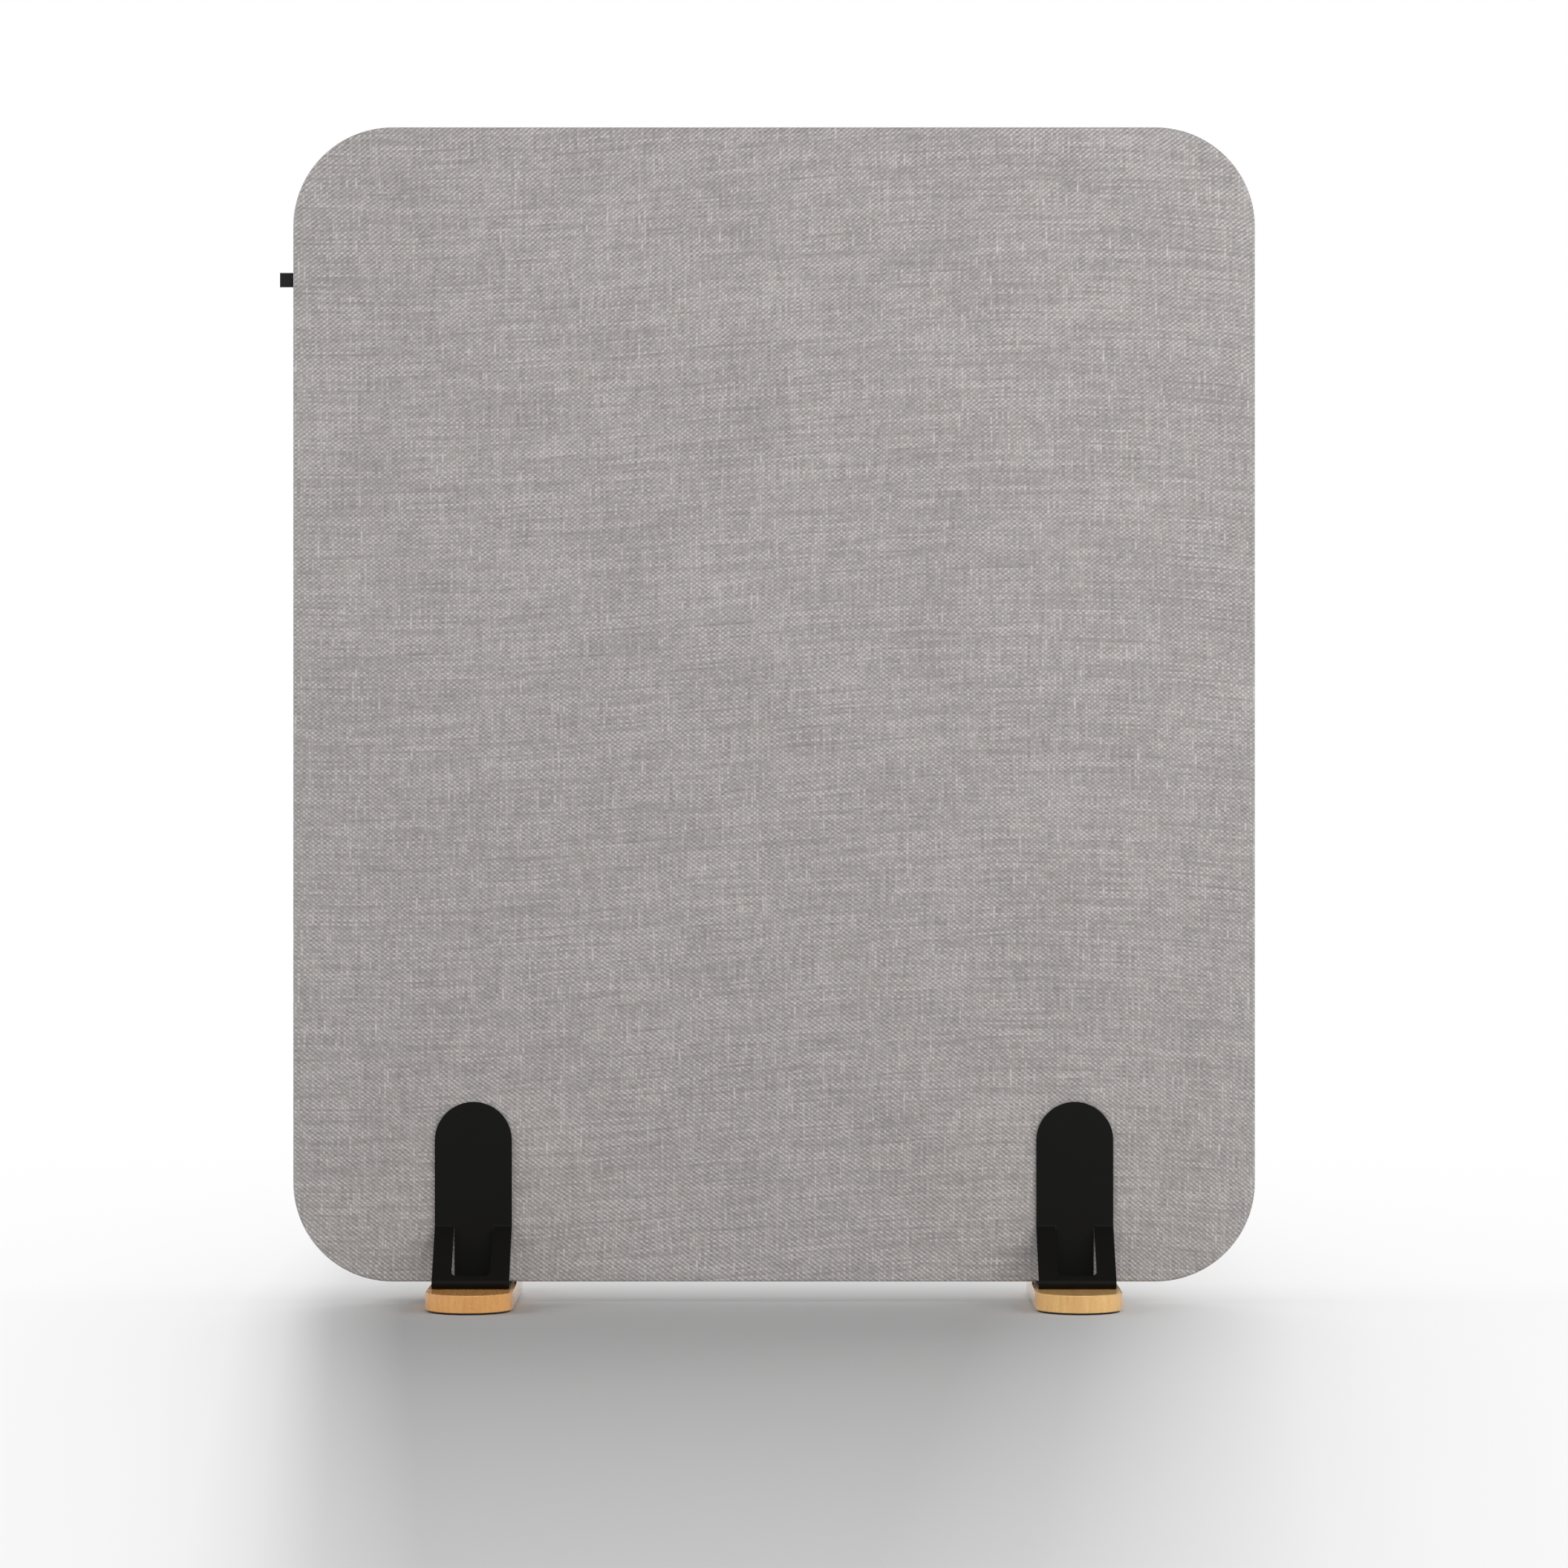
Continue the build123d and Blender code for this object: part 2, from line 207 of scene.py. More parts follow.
# Tone of a thread: noise that is long along the thread and new for every thread, about a half,
# which it comes back to at the thread's borders, where full is zero
def threadTone(tree, index, along, full, slub, gain, seed):
    step = calc(tree, "MULTIPLY_ADD", index, cloth["threadStep"], seed)
    run = calc(tree, "DIVIDE", along, slub)
    quickRun = calc(tree, "MULTIPLY", run, cloth["shortRuns"])
    long = noiseOn(tree, joinAxes(tree, step, run, seed), 1.0)
    short = noiseOn(tree, joinAxes(tree, step, quickRun, seed + 3), 1.0, 1.0)
    share = cloth["longShare"]
    tone = calc(tree, "MULTIPLY_ADD", short, 1 - share, calc(tree, "MULTIPLY", long, share))
    gain = calc(tree, "MULTIPLY", calc(tree, "POWER", full, 0.5), gain)
    return calc(tree, "MULTIPLY_ADD", calc(tree, "SUBTRACT", tone, 0.5), gain, 0.5)


# The plan with drifting threads; the weft is arched by bow * (a - a^3 / (3 half^2))
def threadPlan(tree):
    plan = addNode(tree, "ShaderNodeUVMap", uv_map="plan").outputs["UV"]
    moved = plan
    for scale, reach in cloth["wander"]:
        wander = addNode(tree, "ShaderNodeTexNoise", Scale=scale, Detail=1.0)
        tree.links.new(plan, wander.inputs["Vector"])
        shift = addNode(tree, "ShaderNodeVectorMath", operation="MULTIPLY_ADD")
        tree.links.new(wander.outputs["Color"], shift.inputs[0])
        shift.inputs[1].default_value = (2 * reach, 2 * reach, 0)
        tree.links.new(moved, shift.inputs[2])
        moved = shift.outputs[0]
    u, v, _ = splitAxes(tree, moved)
    a = calc(tree, "SUBTRACT", u, cloth["bowMiddle"])
    cube = calc(tree, "POWER", calc(tree, "ABSOLUTE", a), 3.0)
    cube = calc(tree, "MULTIPLY", cube, calc(tree, "SIGN", a))
    cube = calc(tree, "DIVIDE", cube, 3 * cloth["bowHalf"] ** 2)
    arch = calc(tree, "MULTIPLY", calc(tree, "SUBTRACT", a, cube), cloth["bow"])
    return plan, u, calc(tree, "SUBTRACT", v, arch)


# Strength of one diagonal from place to place, one on average and never below zero; most of the
# noise lies between a quarter and three quarters
def patches(tree, plan, seed):
    x, y, _ = splitAxes(tree, plan)
    patch = noiseOn(tree, joinAxes(tree, x, y, seed), cloth["patchScale"], 2.0, 0.6)
    low, high = 1 - cloth["patchiness"], 1 + cloth["patchiness"]
    return calc(tree, "MAXIMUM", rescale(tree, patch, 0.25, 0.75, low, high), 0.0)


def clothMaterial(name, seed):
    material, tree, shader = newMaterial(name)
    plan, u, v = threadPlan(tree)
    warpCount = calc(tree, "DIVIDE", u, cloth["warpPitch"])
    weftCount = calc(tree, "DIVIDE", v, cloth["weftPitch"])
    across = calc(tree, "MULTIPLY", warpCount, math.pi)
    upward = calc(tree, "MULTIPLY", weftCount, math.pi)
    warpWave = calc(tree, "COSINE", across)
    weftWave = calc(tree, "COSINE", upward)

    # The product of the waves is positive where the weft floats and negative where the warp does
    floating = calc(tree, "MULTIPLY", warpWave, weftWave)
    weftOnTop = rescale(tree, floating, -1.0, 1.0, cloth["showThrough"], 1 - cloth["showThrough"])
    warpIndex = calc(tree, "ROUND", warpCount)
    weftIndex = calc(tree, "ROUND", weftCount)
    toneMix = addNode(tree, "ShaderNodeMix", data_type="FLOAT")
    tree.links.new(weftOnTop, toneMix.inputs[0])
    warpFull = calc(tree, "ABSOLUTE", warpWave)
    weftFull = calc(tree, "ABSOLUTE", weftWave)
    warpTone = threadTone(tree, warpIndex, v, warpFull, cloth["warpSlub"], cloth["warpGain"], seed)
    weftTone = threadTone(tree, weftIndex, u, weftFull, cloth["weftSlub"], cloth["weftGain"], seed + 11)
    tree.links.new(warpTone, toneMix.inputs[2])
    tree.links.new(weftTone, toneMix.inputs[3])

    # Each float is a pillow, and a dot of painted shade lies in the hollow where four of them meet
    pillow = calc(tree, "POWER", calc(tree, "MULTIPLY", warpFull, weftFull), 0.5)
    gapShade = calc(tree, "MULTIPLY", calc(tree, "SUBTRACT", 1.0, warpFull), calc(tree, "SUBTRACT", 1.0, weftFull))

    # Diagonals: sums and differences of the two waves, which trade strength with the height. They are painted
    # shade: each float is darker on the side turned from the light, and that side turns over from the bottom
    # to the top.
    turn = rescale(tree, splitAxes(tree, plan)[1], cloth["turnLow"], cloth["turnHigh"], 0.0, 1.0)
    rising = calc(tree, "COSINE", calc(tree, "SUBTRACT", across, upward))
    falling = calc(tree, "COSINE", calc(tree, "ADD", across, upward))
    strong, faint = cloth["strongDiagonalShade"], cloth["faintDiagonalShade"]
    risingShare = rescale(tree, turn, 0.0, 1.0, faint, strong)
    fallingShare = rescale(tree, turn, 0.0, 1.0, strong, faint)
    risingShare = calc(tree, "MULTIPLY", risingShare, patches(tree, plan, seed))
    fallingShare = calc(tree, "MULTIPLY", fallingShare, patches(tree, plan, seed + 5))
    diagonalShade = calc(tree, "MULTIPLY_ADD", rising, risingShare, calc(tree, "MULTIPLY", falling, fallingShare))

    # Each float has a tone of its own that fades at its ends
    chance = addNode(tree, "ShaderNodeTexWhiteNoise", noise_dimensions="3D")
    tree.links.new(joinAxes(tree, warpIndex, weftIndex, seed), chance.inputs["Vector"])
    floatTone = calc(tree, "MULTIPLY", calc(tree, "SUBTRACT", chance.outputs["Value"], 0.5), pillow)

    # Here and there a warp thread runs light for a while
    slubIndex = calc(tree, "MULTIPLY", warpIndex, cloth["slubStep"])
    slubPlace = calc(tree, "DIVIDE", v, cloth["slubRun"])
    slub = noiseOn(tree, joinAxes(tree, slubIndex, slubPlace, seed + 8), 1.0, 1.0)
    slub = rescale(tree, slub, cloth["slubFrom"], cloth["slubFull"], 0.0, cloth["slubTone"])
    slub = calc(tree, "MULTIPLY", slub, calc(tree, "POWER", warpFull, 2.0))

    tone = toneMix.outputs[0]
    for scale, detail, roughness, depth in cloth["layers"]:
        layer = noiseOn(tree, plan, scale, detail, roughness)
        tone = calc(tree, "MULTIPLY_ADD", calc(tree, "SUBTRACT", layer, 0.5), depth, tone)
    tone = calc(tree, "MULTIPLY_ADD", floatTone, cloth["floatTone"], tone)
    # the diagonals' painted shade and the light slubs go into the tone here
    tone = calc(tree, "ADD", calc(tree, "ADD", tone, diagonalShade), slub)
    # the painted shade of the hollows darkens the tone here
    tone = calc(tree, "MULTIPLY_ADD", gapShade, cloth["gapShadeDepth"], calc(tree, "ADD", tone, cloth["lift"]))
    colorBy(tree, shader, tone, cloth["yarns"])
    setSockets(shader, cloth["finish"])
    fuzz = noiseOn(tree, plan, cloth["fuzzScale"], 1.0)
    height = calc(tree, "MULTIPLY_ADD", fuzz, cloth["fuzz"], pillow)
    bumpFrom(tree, shader, height, cloth["bump"], cloth["relief"])
    return material


# Panel surface: one profile carried round the rounded outline. A point of the outline is
# core + (radius - inset) * normal, where the core is the rectangle through the corner centres.
panel = {
    "width": 1.0,
    "height": 1.2,
    "thickness": 0.04,
    "bottom": 0.023,
    "cornerRadius": 0.103,
    "edgeRadius": 0.0025,
    "spacing": 0.007,
    "cornerSteps": 24,
    "edgeSteps": 8,
    "weldStep": 0.01 * mm,
}
panelMiddleZ = panel["bottom"] + panel["height"] / 2


# Core point, outward normal and corner radius for each step round a rounded rectangle, counter-
# clockwise in X, Z from its lower right corner; along a side the radius goes over to the next one
def outlinePath(halfX, halfZ, radii):
    corners = np.array([[1, -1], [1, 1], [-1, 1], [-1, -1]])
    centres = corners * [halfX, halfZ] - corners * np.array(radii)[:, None]
    cores, angles, reaches = [], [], []
    for k in range(4):
        steps = panel["cornerSteps"]
        nextCentre, nextRadius = centres[(k + 1) % 4], radii[(k + 1) % 4]
        cores.append(np.repeat(centres[k][None], steps, axis=0))
        angles.append(np.linspace(0, math.pi / 2, steps, endpoint=False) + (k - 1) * math.pi / 2)
        reaches.append(np.full(steps, radii[k]))
        count = max(round(np.abs(nextCentre - centres[k]).max() / panel["spacing"]), 2)
        along = np.linspace(0, 1, count, endpoint=False)
        cores.append(centres[k] + (nextCentre - centres[k]) * along[:, None])
        angles.append(np.full(count, k * math.pi / 2))
        reaches.append(radii[k] + (nextRadius - radii[k]) * along)
    angle = np.concatenate(angles)
    normal = np.stack([np.cos(angle), np.sin(angle)], axis=1)
    return np.concatenate(cores), normal, np.concatenate(reaches)


# Merges points that fall together, with the extra values of the first of them
def weld(points, faces, extra):
    keys = np.round(points / panel["weldStep"]).astype(np.int64)
    _, first, inverse = np.unique(keys, axis=0, return_index=True, return_inverse=True)
    return points[first], inverse.reshape(-1)[faces], extra[first]


# A mesh of quads, where one with two equal corners becomes a triangle and one with more is left out
def meshPiece(name, points, faces, uv, material, outward=False):
    equal = faces == np.roll(faces, -1, axis=1)
    order = np.argsort(equal, axis=1, kind="stable")
    quads = faces[equal.sum(1) == 0]
    triangles = np.take_along_axis(faces, order, 1)[equal.sum(1) == 1, :3]
    mesh = bpy.data.meshes.new(name)
    mesh.from_pydata(points.tolist(), [], quads.tolist() + triangles.tolist())
    if outward:
        work = bmesh.new()
        work.from_mesh(mesh)
        bmesh.ops.recalc_face_normals(work, faces=work.faces)
        work.to_mesh(mesh)
        work.free()
    layer = mesh.uv_layers.new(name="plan")
    index = np.empty(len(mesh.loops), dtype=np.int32)
    mesh.loops.foreach_get("vertex_index", index)
    layer.data.foreach_set("uv", uv[index].astype(np.float32).ravel())
    mesh.shade_smooth()
    mesh.materials.append(material)
    piece = bpy.data.objects.new(name, mesh)
    bpy.context.collection.objects.link(piece)
    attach(piece, "root")
    return piece


# Quads of a grid of points; a closed one joins its last column to its first
def gridFaces(rows, columns, closed):
    r = np.arange(rows - 1)[:, None]
    c = np.arange(columns if closed else columns - 1)[None]
    n = (c + 1) % columns
    quads = np.stack([r * columns + c, r * columns + n, (r + 1) * columns + n, (r + 1) * columns + c], -1)
    return quads.reshape(-1, 4)


# A skin over the panel's front: rings of the outline, each drawn in by profile[k][0] at the depth
# profile[k][1], and a flat grid over the middle
def panelSurface(profile, planReach):
    radius = panel["cornerRadius"]
    half = np.array([panel["width"], panel["height"]]) / 2
    core, normal, _ = outlinePath(*half, [radius] * 4)
    core = core + [0, panelMiddleZ]
    inset, depth = np.asarray(profile).T
    ring = core[None] + (radius - inset)[:, None, None] * normal[None]
    points = np.stack([ring[..., 0], np.repeat(depth[:, None], len(core), 1), ring[..., 1]], -1)
    flat = core[None] + np.asarray(planReach)[:, None, None] * normal[None]
    counts = np.round(2 * (half - radius) / panel["spacing"]).astype(int) + 1
    x = np.linspace(-1, 1, counts[0]) * (half[0] - radius)
    z = np.linspace(-1, 1, counts[1]) * (half[1] - radius) + panelMiddleZ
    gridX, gridZ = np.meshgrid(x, z)
    middle = np.stack([gridX, np.full(gridX.shape, depth[-1]), gridZ], -1).reshape(-1, 3)
    rings = gridFaces(len(profile), len(core), True)
    cap = gridFaces(len(z), len(x), False) + points.shape[0] * points.shape[1]
    return weld(
        np.concatenate([points.reshape(-1, 3), middle]),
        np.concatenate([rings, cap]),
        np.concatenate([flat.reshape(-1, 2), middle[:, [0, 2]]]),
    )


# Covers: cloth pulled over the foam, sewn together in a seam round the narrow side
cover = {
    "thickness": 1.0 * mm,
    "roll": 1.7 * mm,  # the turned-in edge beside the seam
    "rollSteps": 6,
    "rollEnd": 1.5 * mm,  # from the roll to where the flat side begins
    "sideSteps": 4,
    "seamGap": 0.12 * mm,
    "pucker": 0.22 * mm,
    "puckerLength": 4.5 * mm,
    "seamReach": 0.55,  # of the seam from the panel's middle, about
    "puckerFade": 4 * mm,
    "puckerFrom": 0.3 * mm,  # depth beside the seam where puckers begin
    "puckerRim": 5 * mm,
    "unevenness": 0.6,  # of the puckers, by a longer wave of this share of their number
    "unevenShare": 0.37,
    "faceEdge": 3 * mm,  # depth over which the face's rise begins
    "bulge": 0.9 * mm,  # of the cloth around a paddle
    "bulgeRise": 5 * mm,
    "bulgeFade": 30 * mm,
    "wave": 0.35 * mm,
    "waves": ((9, 2, 0, 1), (-4, 7, 2, 0), (17, 11, 0, 0)),  # across, up, phase, share of the sign
}


# The section of a cover from the seam to the face: a rolled edge, the narrow side, a quarter
# circle and the face. With it goes the reach of each ring on the flat cloth.
def coverProfile():
    half = panel["thickness"] / 2
    roll, edge = cover["roll"], panel["edgeRadius"]
    turn = np.linspace(0, math.pi / 2, cover["rollSteps"])
    rolled = np.stack([roll * (1 - np.sin(turn)), -cover["seamGap"] - roll * (1 - np.cos(turn))], 1)
    side = np.linspace(roll + cover["rollEnd"], half - edge, cover["sideSteps"])
    straight = np.stack([np.zeros(len(side)), -side], 1)
    turn = np.linspace(0, math.pi / 2, panel["edgeSteps"] + 1)[1:]
    bend = np.stack([edge * (1 - np.cos(turn)), -(half - edge) - edge * np.sin(turn)], 1)
    count = round((panel["cornerRadius"] - edge) / panel["spacing"])
    inward = np.linspace(edge, panel["cornerRadius"], count + 1)[1:]
    face = np.stack([inward, np.full(len(inward), -half)], 1)
    profile = np.concatenate([rolled, straight, bend, face])
    steps = np.hypot(*np.diff(profile, axis=0).T)
    travelled = np.concatenate([[0], np.cumsum(steps)])
    return profile, travelled[-1] - travelled


# Distance on the face from the nearest paddle's outline, below zero inside it
def paddleDistance(points):
    result = np.full(len(points), np.inf)
    for side in ("left", "right"):
        low, high = (np.array(corner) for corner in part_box(side + "_bracket"))
        radius = (high[0] - low[0]) / 2
        above = np.maximum(points[:, 2] - (high[2] - radius), 0)
        distance = np.hypot(points[:, 0] - (low[0] + high[0]) / 2, above) - radius
        result = np.minimum(result, distance)
    return result


# How far the face stands out: in a bulge round the paddles and in low waves, the sum of sines
# brought to between zero and one; under a paddle it is zero
def faceRise(points, sign):
    distance = np.maximum(paddleDistance(points), 0)
    rise = 1 - np.exp(-distance / cover["bulgeRise"])
    bulge = cover["bulge"] * rise * np.exp(-distance / cover["bulgeFade"])
    x, z = points[:, 0], points[:, 2] - panelMiddleZ
    count = len(cover["waves"])
    wave = sum(np.sin(p * x + q * z + phase + share * sign) for p, q, phase, share in cover["waves"])
    return bulge + cover["wave"] * (wave + count) / (2 * count) * rise


# Cloth over foam: it follows the face's rise and puckers at the seam, on the sides and the top
def swellCover(points, sign):
    half, rim = panel["thickness"] / 2, cover["puckerRim"]
    onFace = np.clip((-points[:, 1] - half) / cover["faceEdge"] + 1, 0, 1)
    points[:, 1] -= onFace * faceRise(points, sign)
    x, z = points[:, 0], points[:, 2] - panelMiddleZ
    phase = np.arctan2(z, x) * cover["seamReach"] * 2 * math.pi / cover["puckerLength"]
    nearSeam = np.exp(points[:, 1] / cover["puckerFade"]) * (points[:, 1] < -cover["puckerFrom"])
    uneven = cover["unevenness"] * np.sin(phase * cover["unevenShare"] + sign)
    pucker = cover["pucker"] * nearSeam * (np.sin(phase) + uneven)
    points[:, 0] -= pucker * np.sign(x) * (np.abs(x) > panel["width"] / 2 - rim)
    points[:, 2] -= pucker * (z > panel["height"] / 2 - rim)
    return points


# A rear piece is the front one turned half round about the upright axis
def turnRear(points, sign):
    return points * (-sign, -sign, 1) if sign > 0 else points


def makeCover(name, sign, material):
    profile, planReach = coverProfile()
    points, faces, flat = panelSurface(profile, planReach)
    points = turnRear(swellCover(points, sign), sign)
    piece = meshPiece(name, points, faces, flat, material)
    shell = piece.modifiers.new("thickness", "SOLIDIFY")
    shell.thickness = cover["thickness"]
    shell.offset = -1

    return piece


# Soft fillings: a closed form whose rims are rounded and whose faces run in to the middle
filling = {
    "foamRim": 1.3 * mm,
    "foamBack": 0.8 * mm,
    "foamGap": 0.3 * mm,  # under the cloth
    "woolRim": 4 * mm,
    "woolEase": 0.3 * mm,
    "woolRound": 41 * mm,  # radius of the corners beside the frame's corner blocks
    "woolSquare": 3 * mm,
    "rimSteps": 7,
    "faceSteps": 34,
}


# A pad between two corners: rings run from the rear middle to the rear rim, over the side and the
# front rim, to the front middle; share draws a ring towards the middle
def padSurface(name, low, high, radii, rims, material, sign=0):
    low, high = np.array(low), np.array(high)
    half, middle = (high - low) / 2, (high + low) / 2
    core, normal, radius = outlinePath(half[0], half[2], radii)
    turn = np.linspace(0, math.pi / 2, filling["rimSteps"])
    inward = np.linspace(1, 0, filling["faceSteps"])[1:]
    steps = []
    for rim, way in ((rims[0], 1), (rims[1], -1)):
        inset = np.concatenate([rim * (1 - np.cos(turn)), np.full(len(inward), rim)])
        depth = np.concatenate([half[1] - rim + rim * np.sin(turn), np.full(len(inward), half[1])])
        share = np.concatenate([np.ones(len(turn)), inward])
        steps.append(np.stack([inset, way * depth, share], 1)[::way * -1])
    inset, depth, share = np.concatenate(steps).T
    ring = share[:, None, None] * (core[None] + (radius[None] - inset[:, None])[..., None] * normal[None])
    points = np.stack([ring[..., 0], np.repeat(depth[:, None], len(core), 1), ring[..., 1]], -1)
    points = points.reshape(-1, 3)
    faces = gridFaces(len(depth), len(core), True)
    points, faces, flat = weld(points, faces, points[:, [0, 2]])
    points = points + middle
    if sign:
        onFace = np.clip((middle[1] - points[:, 1]) / half[1], 0, 1)
        points[:, 1] -= onFace * np.maximum(faceRise(points, sign) - filling["foamGap"], 0)
        points = turnRear(points, sign)
    piece = meshPiece(name, points, faces, flat, material, outward=True)
    return piece


def makeFoam(name, node, sign, material):
    low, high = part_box(node.replace("rear", "front"))
    radius = panel["cornerRadius"] - (panel["width"] / 2 - high[0])
    rims = (filling["foamBack"], filling["foamRim"])
    piece = padSurface(name, low, high, [radius] * 4, rims, material, sign)
    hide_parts(node)


def makeWool(name, node, cornersUp, material):
    low, high = (np.array(corner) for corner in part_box(node))
    ease, rim = filling["woolEase"], filling["woolRim"]
    wide, square = filling["woolRound"], filling["woolSquare"]
    radii = [square, wide, wide, square] if cornersUp else [wide, square, square, wide]
    piece = padSurface(name, low + ease, high - ease, radii, (rim, rim), material)
    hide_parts(node)


# Side tag: a bare ribbon folded double, with a closed fold outside and its ends in the seam
tag = {
    "thickness": 0.4 * mm,
    "reach": 15.4 * mm,
    "spread": 0.32 * mm,  # from the middle of the fold to the middle of a layer
    "foldRadius": 0.55 * mm,
    "foldStart": 2.5,  # where the layers end, in fold radii from the outer end
    "easeLength": 6 * mm,  # over which the layers open towards the fold
    "bow": 0.35 * mm,
    "steps": 26,
    "foldSteps": 11,
    "rows": 16,
}


# The section goes out along one layer, round a fold a little wider than the layers, and back
def makeTag(material):
    low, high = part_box("side_tag")
    outer = -panel["width"] / 2 - tag["reach"]
    radius, spread = tag["foldRadius"], tag["spread"]
    layer = np.linspace(high[0], outer + tag["foldStart"] * radius, tag["steps"])
    ease = np.clip((outer - layer) / tag["easeLength"] + 1, 0, 1) ** 2
    width = spread + (radius - spread) * ease
    turn = np.linspace(-math.pi / 2, math.pi / 2, tag["foldSteps"])[1:-1]
    foldX = outer + radius - radius * np.cos(turn)
    foldY = radius * np.sin(turn)
    x = np.concatenate([layer, foldX, layer[::-1]])
    y = np.concatenate([-width, foldY, width[::-1]])
    z = np.linspace(low[2], high[2], tag["rows"])
    bow = tag["bow"] * np.clip((-panel["width"] / 2 - x) / tag["reach"], 0, 1) ** 2
    repeats = (len(z), 1)
    upright = np.tile(z[:, None], len(x))
    points = np.stack([np.tile(x, repeats), np.tile(y + bow, repeats), upright], -1).reshape(-1, 3)
    travelled = np.concatenate([[0], np.cumsum(np.hypot(np.diff(x), np.diff(y)))])
    flat = np.stack([np.tile(travelled, repeats), upright], -1).reshape(-1, 2)
    piece = meshPiece("side_tag_ribbon", points, gridFaces(len(z), len(x), False), flat, material)
    shell = piece.modifiers.new("thickness", "SOLIDIFY")
    shell.thickness = tag["thickness"]
    shell.offset = 0
    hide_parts("side_tag")


# Plain finishes: colour, roughness, scale and contrast of the grain, share of metal, relief in mm
finishes = {
    "foam": ((0.7, 0.68, 0.62), 1.0, 1200, 0.2, 0.0, 0.3),
    "wool": ((0.25, 0.25, 0.26), 1.0, 700, 0.4, 0.0, 0.6),
    "pad rubber": ((0.02, 0.02, 0.02), 0.8, 900, 0.3, 0.0, 0.05),
    "zinc": ((0.62, 0.62, 0.6), 0.35, 700, 0.08, 1.0, 0.01),
    "black zinc": ((0.03, 0.03, 0.03), 0.4, 700, 0.2, 0.6, 0.01),
    "brass": ((0.75, 0.55, 0.25), 0.35, 600, 0.1, 1.0, 0.01),
    "dowel wood": ((0.7, 0.55, 0.36), 0.6, 400, 0.12, 0.0, 0.05),
}
grainStart, grainEnd, grainBump = 0.35, 0.65, 0.3


# A fine grain of one hue, darker and lighter by contrast
def plainGrain(name):
    color, roughness, scale, contrast, metallic, relief = finishes[name]
    material, tree, shader = newMaterial(name)
    grain = noiseOn(tree, objectPlace(tree), scale, 3.0)
    dark = tuple(c * (1 - contrast) for c in color)
    light = tuple(min(c * (1 + contrast), 1) for c in color)
    colorBy(tree, shader, grain, [(grainStart, dark), (grainEnd, light)])
    setSockets(shader, {"Roughness": roughness, "Metallic": metallic})
    bumpFrom(tree, shader, grain, grainBump, relief * mm)
    return material


# Woven ribbon: fine ribs across the tag
ribbon = {
    "rib": 0.45 * mm,
    "cross": 0.35 * mm,
    "dark": (0.007, 0.007, 0.007),
    "light": (0.017, 0.017, 0.017),
    "finish": {"Roughness": 0.7, "Specular IOR Level": 0.25},
    "bump": 0.4,
    "relief": 0.08 * mm,
}


def ribbonMaterial():
    material, tree, shader = newMaterial("tag ribbon")
    plan = addNode(tree, "ShaderNodeUVMap", uv_map="plan").outputs["UV"]
    u, v, _ = splitAxes(tree, plan)
    rib = calc(tree, "SINE", calc(tree, "MULTIPLY", u, 2 * math.pi / ribbon["rib"]))
    cross = calc(tree, "SINE", calc(tree, "MULTIPLY", v, 2 * math.pi / ribbon["cross"]))
    weave = calc(tree, "MULTIPLY", rib, cross)
    tone = rescale(tree, weave, -1.0, 1.0, 0.0, 1.0)
    colorBy(tree, shader, tone, [(0.0, ribbon["dark"]), (1.0, ribbon["light"])])
    setSockets(shader, ribbon["finish"])
    bumpFrom(tree, shader, tone, ribbon["bump"], ribbon["relief"])
    return material


foam, wool = plainGrain("foam"), plainGrain("wool")
for sideName, sideSign, seed in (("front", -1, 0.0), ("rear", 1, 40.0)):
    makeFoam(sideName + "_foam", sideName + "_foam_pad", sideSign, foam)
    fabric = clothMaterial("heather cloth " + sideName, seed)
    covering = makeCover(sideName + "_cover_cloth", sideSign, fabric)
    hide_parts(sideName + "_cover")
makeWool("upper_absorber_wool", "upper_absorber_slab", True, wool)
makeWool("lower_absorber_wool", "lower_absorber_slab", False, wool)
makeTag(ribbonMaterial())
print("soft pieces done")


# Steel, wood and the rest keep their CAD shapes and take a finish
def dress(names, material):
    for name in names:
        piece = nodes[name]
        piece.data.materials.clear()
        piece.data.materials.append(material)


steel = {
    "color": (0.0042, 0.004, 0.0036, 1),
    "roughness": 0.5,
    "mottle": 0.08,  # of the roughness, in patches
    "mottleScale": 30.0,
    "gloss": 0.1,
    "grain": 2600.0,
    "bump": 0.5,
    "relief": 0.03 * mm,
}


# Roughness that a noise spreads about its middle value
def spreadRoughness(tree, shader, noise, spread, middle):
    rough = calc(tree, "MULTIPLY_ADD", noise, spread, middle - spread / 2)
    tree.links.new(rough, shader.inputs["Roughness"])


def powderCoat():
    material, tree, shader = newMaterial("black powder coat")
    place = objectPlace(tree)
    setSockets(shader, {"Base Color": steel["color"], "Specular IOR Level": steel["gloss"]})
    mottle = noiseOn(tree, place, steel["mottleScale"])
    spreadRoughness(tree, shader, mottle, steel["mottle"], steel["roughness"])
    bumpFrom(tree, shader, noiseOn(tree, place, steel["grain"]), steel["bump"], steel["relief"])
    return material


